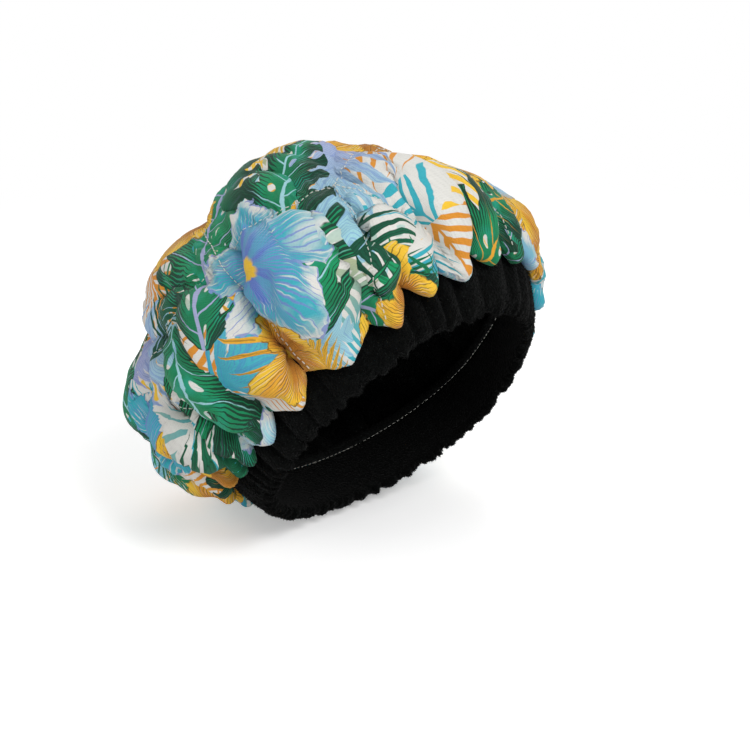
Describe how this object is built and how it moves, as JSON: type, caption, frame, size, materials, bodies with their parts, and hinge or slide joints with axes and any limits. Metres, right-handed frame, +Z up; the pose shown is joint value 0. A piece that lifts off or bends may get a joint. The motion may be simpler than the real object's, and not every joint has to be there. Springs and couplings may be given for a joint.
{
  "type": "heat cap",
  "caption": "Round quilted heat cap of printed cotton with seed-filled pockets, gathered into a wide elasticated edge of black terry, shaped as worn with its opening tilted to the nape.",
  "frame": {"origin": "centre of the opening, in the plane of the edge that lies on the head, at the level of its widest place", "axes": "+Z up on an upright head, -Y towards the forehead, +X towards the wearer's left"},
  "size_m": [0.259, 0.2345, 0.2265],
  "materials": {
    "printed_cotton": "plain weave cotton with a bright leaf and flower print",
    "black_terry": "looped terry, matt",
    "elastic": "woven elastic tape",
    "flax_seed": "small glossy seeds",
    "thread": "twisted sewing thread"
  },
  "bodies": {
    "root": {"outer_cover": "printed_cotton", "lining": "black_terry", "edge_band": "black_terry", "elastic": "elastic", "seed_fill_1_2": "flax_seed", "seed_fill_1_3": "flax_seed", "seed_fill_1_4": "flax_seed", "seed_fill_2_1": "flax_seed", "seed_fill_2_2": "flax_seed", "seed_fill_2_3": "flax_seed", "seed_fill_2_4": "flax_seed", "seed_fill_2_5": "flax_seed", "seed_fill_3_1": "flax_seed", "seed_fill_3_2": "flax_seed", "seed_fill_3_3": "flax_seed", "seed_fill_3_4": "flax_seed", "seed_fill_3_5": "flax_seed", "seed_fill_4_1": "flax_seed", "seed_fill_4_2": "flax_seed", "seed_fill_4_3": "flax_seed", "seed_fill_4_4": "flax_seed", "seed_fill_4_5": "flax_seed", "seed_fill_5_2": "flax_seed", "seed_fill_5_3": "flax_seed", "seed_fill_5_4": "flax_seed", "long_seam_thread_1": "thread", "cross_seam_thread_1": "thread", "long_seam_thread_2": "thread", "cross_seam_thread_2": "thread", "long_seam_thread_3": "thread", "cross_seam_thread_3": "thread", "long_seam_thread_4": "thread", "cross_seam_thread_4": "thread", "hem_thread": "thread"}
  },
  "joints": []
}
